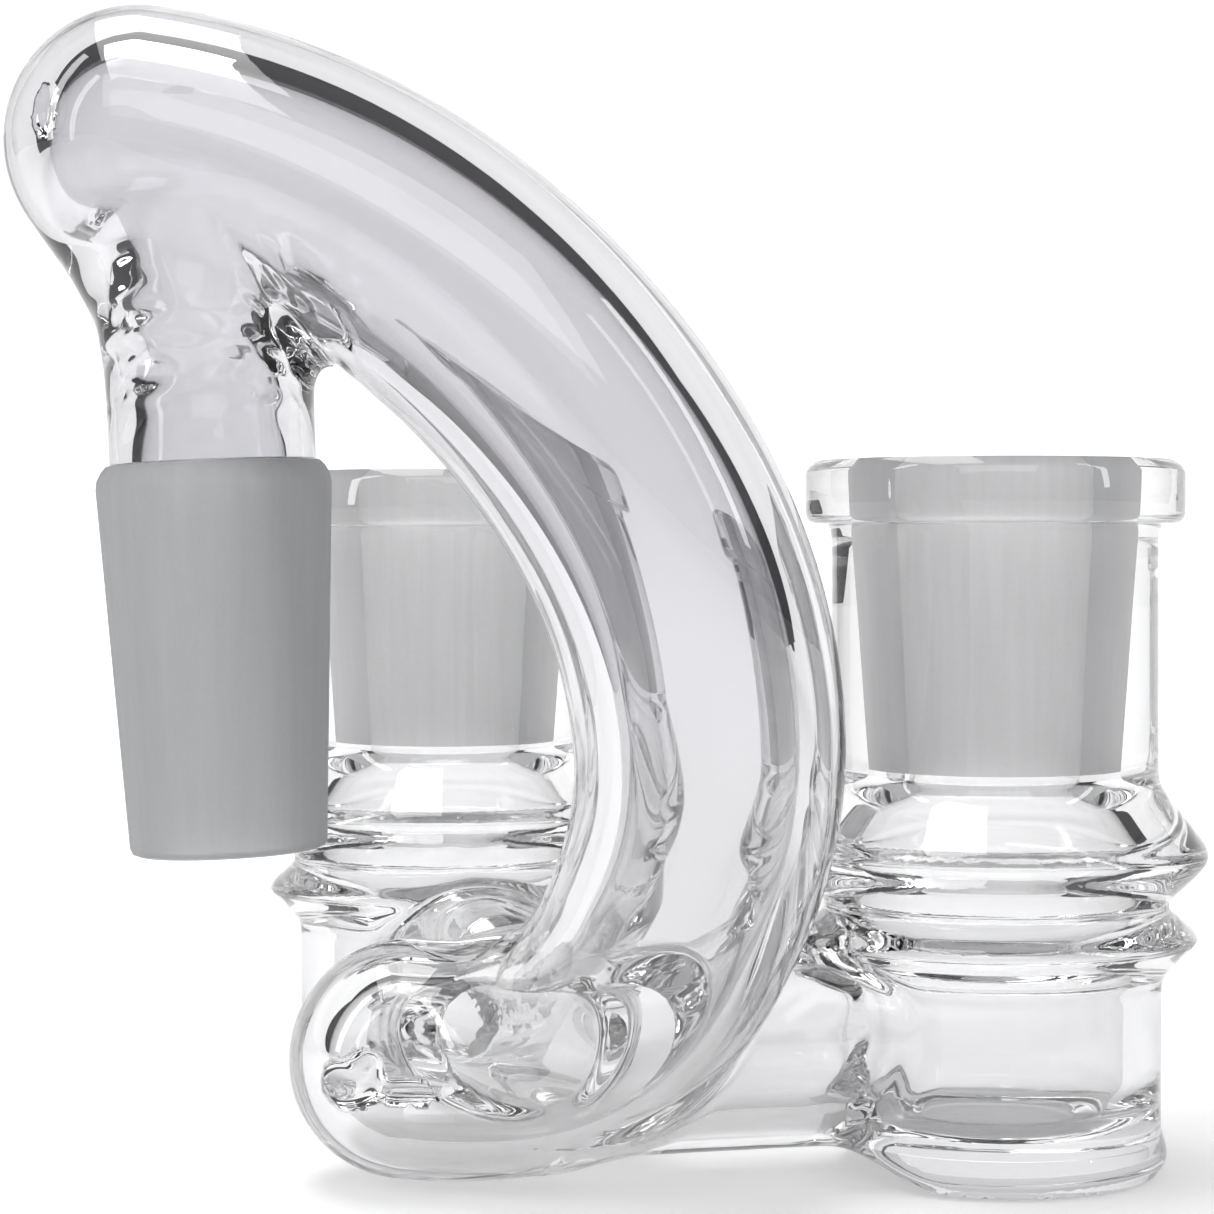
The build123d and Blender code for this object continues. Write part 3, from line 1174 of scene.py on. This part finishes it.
class ADAPTER_OT_stage(bpy.types.Operator):
    """Set the floor, the backdrop, the lights and the camera."""

    bl_idname = "adapter.stage"
    bl_label = "Studio"

    def execute(self, context):
        stage = context.scene.adapter_stage
        scene = context.scene
        scene.view_settings.view_transform = "Standard"
        scene.cycles.max_bounces = 40
        scene.cycles.transmission_bounces = 40
        scene.cycles.glossy_bounces = 12
        scene.cycles.transparent_max_bounces = 40
        scene.cycles.caustics_refractive = True
        scene.cycles.caustics_reflective = False
        scene.cycles.sample_clamp_indirect = 4.0
        paint = studio_finish(stage)
        curve = [(SWEEP_START, FLOOR)]
        for k in range(1, SWEEP_STEPS + 1):
            a = 0.5 * math.pi * k / SWEEP_STEPS
            back, height = SWEEP_RADIUS * math.sin(a), SWEEP_RADIUS - SWEEP_RADIUS * math.cos(a)
            curve.append((SWEEP_START + back, FLOOR + height))
        curve.append((SWEEP_START + SWEEP_RADIUS, BACKDROP_TOP))
        floor = [(-FLOOR_REACH, FLOOR), (FLOOR_REACH, FLOOR)]
        studio_sheet("studio_floor", floor, FLOOR_REACH, paint)
        studio_sheet("studio_backdrop", curve, stage.backdrop_reach, paint)

        world = bpy.data.worlds.new("studio_room")
        scene.world = world
        world.use_nodes = True
        sky = world.node_tree.nodes["Background"]
        sky.inputs["Color"].default_value = (0.95, 0.96, 1.0, 1)
        sky.inputs["Strength"].default_value = stage.world_light

        middle = Vector((MIDDLE, 0.0, 0.035))
        add_panel("top_soft", (0.34, 0.16), (-0.12, 0.0, 0.40), middle, stage.key_power)
        add_panel("front_fill", (0.50, 0.30), (-0.05, -0.50, 0.42), middle, 1.1)
        add_panel("left_strip", (0.04, 0.36), (-0.33, -0.12, 0.22), middle, 0.45)
        add_panel("right_strip", (0.03, 0.30), (0.30, -0.16, 0.24), middle, 0.25)

        data = bpy.data.cameras.new("front_camera")
        data.sensor_width = 36.0
        data.lens = stage.camera_lens
        data.shift_y = stage.camera_shift
        data.clip_start = 0.01
        camera = bpy.data.objects.new("front_camera", data)
        scene.collection.objects.link(camera)
        camera.location = (MIDDLE, TOP_END[1] * MM - stage.camera_back, stage.camera_height)
        camera.rotation_euler = (math.pi / 2, 0, 0)
        scene.camera = camera
        return {"FINISHED"}


class ADAPTER_PT_panel(bpy.types.Panel):
    """Sidebar list of the build steps and their settings."""

    bl_idname = "ADAPTER_PT_panel"
    bl_label = "Adapter"
    bl_space_type = "VIEW_3D"
    bl_region_type = "UI"
    bl_category = "Adapter"

    def draw(self, context):
        for group in ("adapter_sizes", "adapter_look", "adapter_stage"):
            settings = getattr(context.scene, group)
            for name in settings.__annotations__:
                self.layout.prop(settings, name)
        for operator in OPERATORS:
            self.layout.operator(operator.bl_idname)


OPERATORS = (
    ADAPTER_OT_male_joint,
    ADAPTER_OT_sockets,
    ADAPTER_OT_arch,
    ADAPTER_OT_crown,
    ADAPTER_OT_foot,
    ADAPTER_OT_stage,
)
GROUPS = {"adapter_sizes": AdapterSizes, "adapter_look": AdapterLook, "adapter_stage": StageLook}


def register():
    for cls in (*GROUPS.values(), *OPERATORS, ADAPTER_PT_panel):
        bpy.utils.register_class(cls)
    for name, cls in GROUPS.items():
        setattr(bpy.types.Scene, name, PointerProperty(type=cls))


def unregister():
    for name in GROUPS:
        delattr(bpy.types.Scene, name)
    for cls in reversed((*GROUPS.values(), *OPERATORS, ADAPTER_PT_panel)):
        bpy.utils.unregister_class(cls)


def main():
    register()
    for operator in OPERATORS:
        group, name = operator.bl_idname.split(".")
        getattr(getattr(bpy.ops, group), name)()


if __name__ == "__main__":
    main()
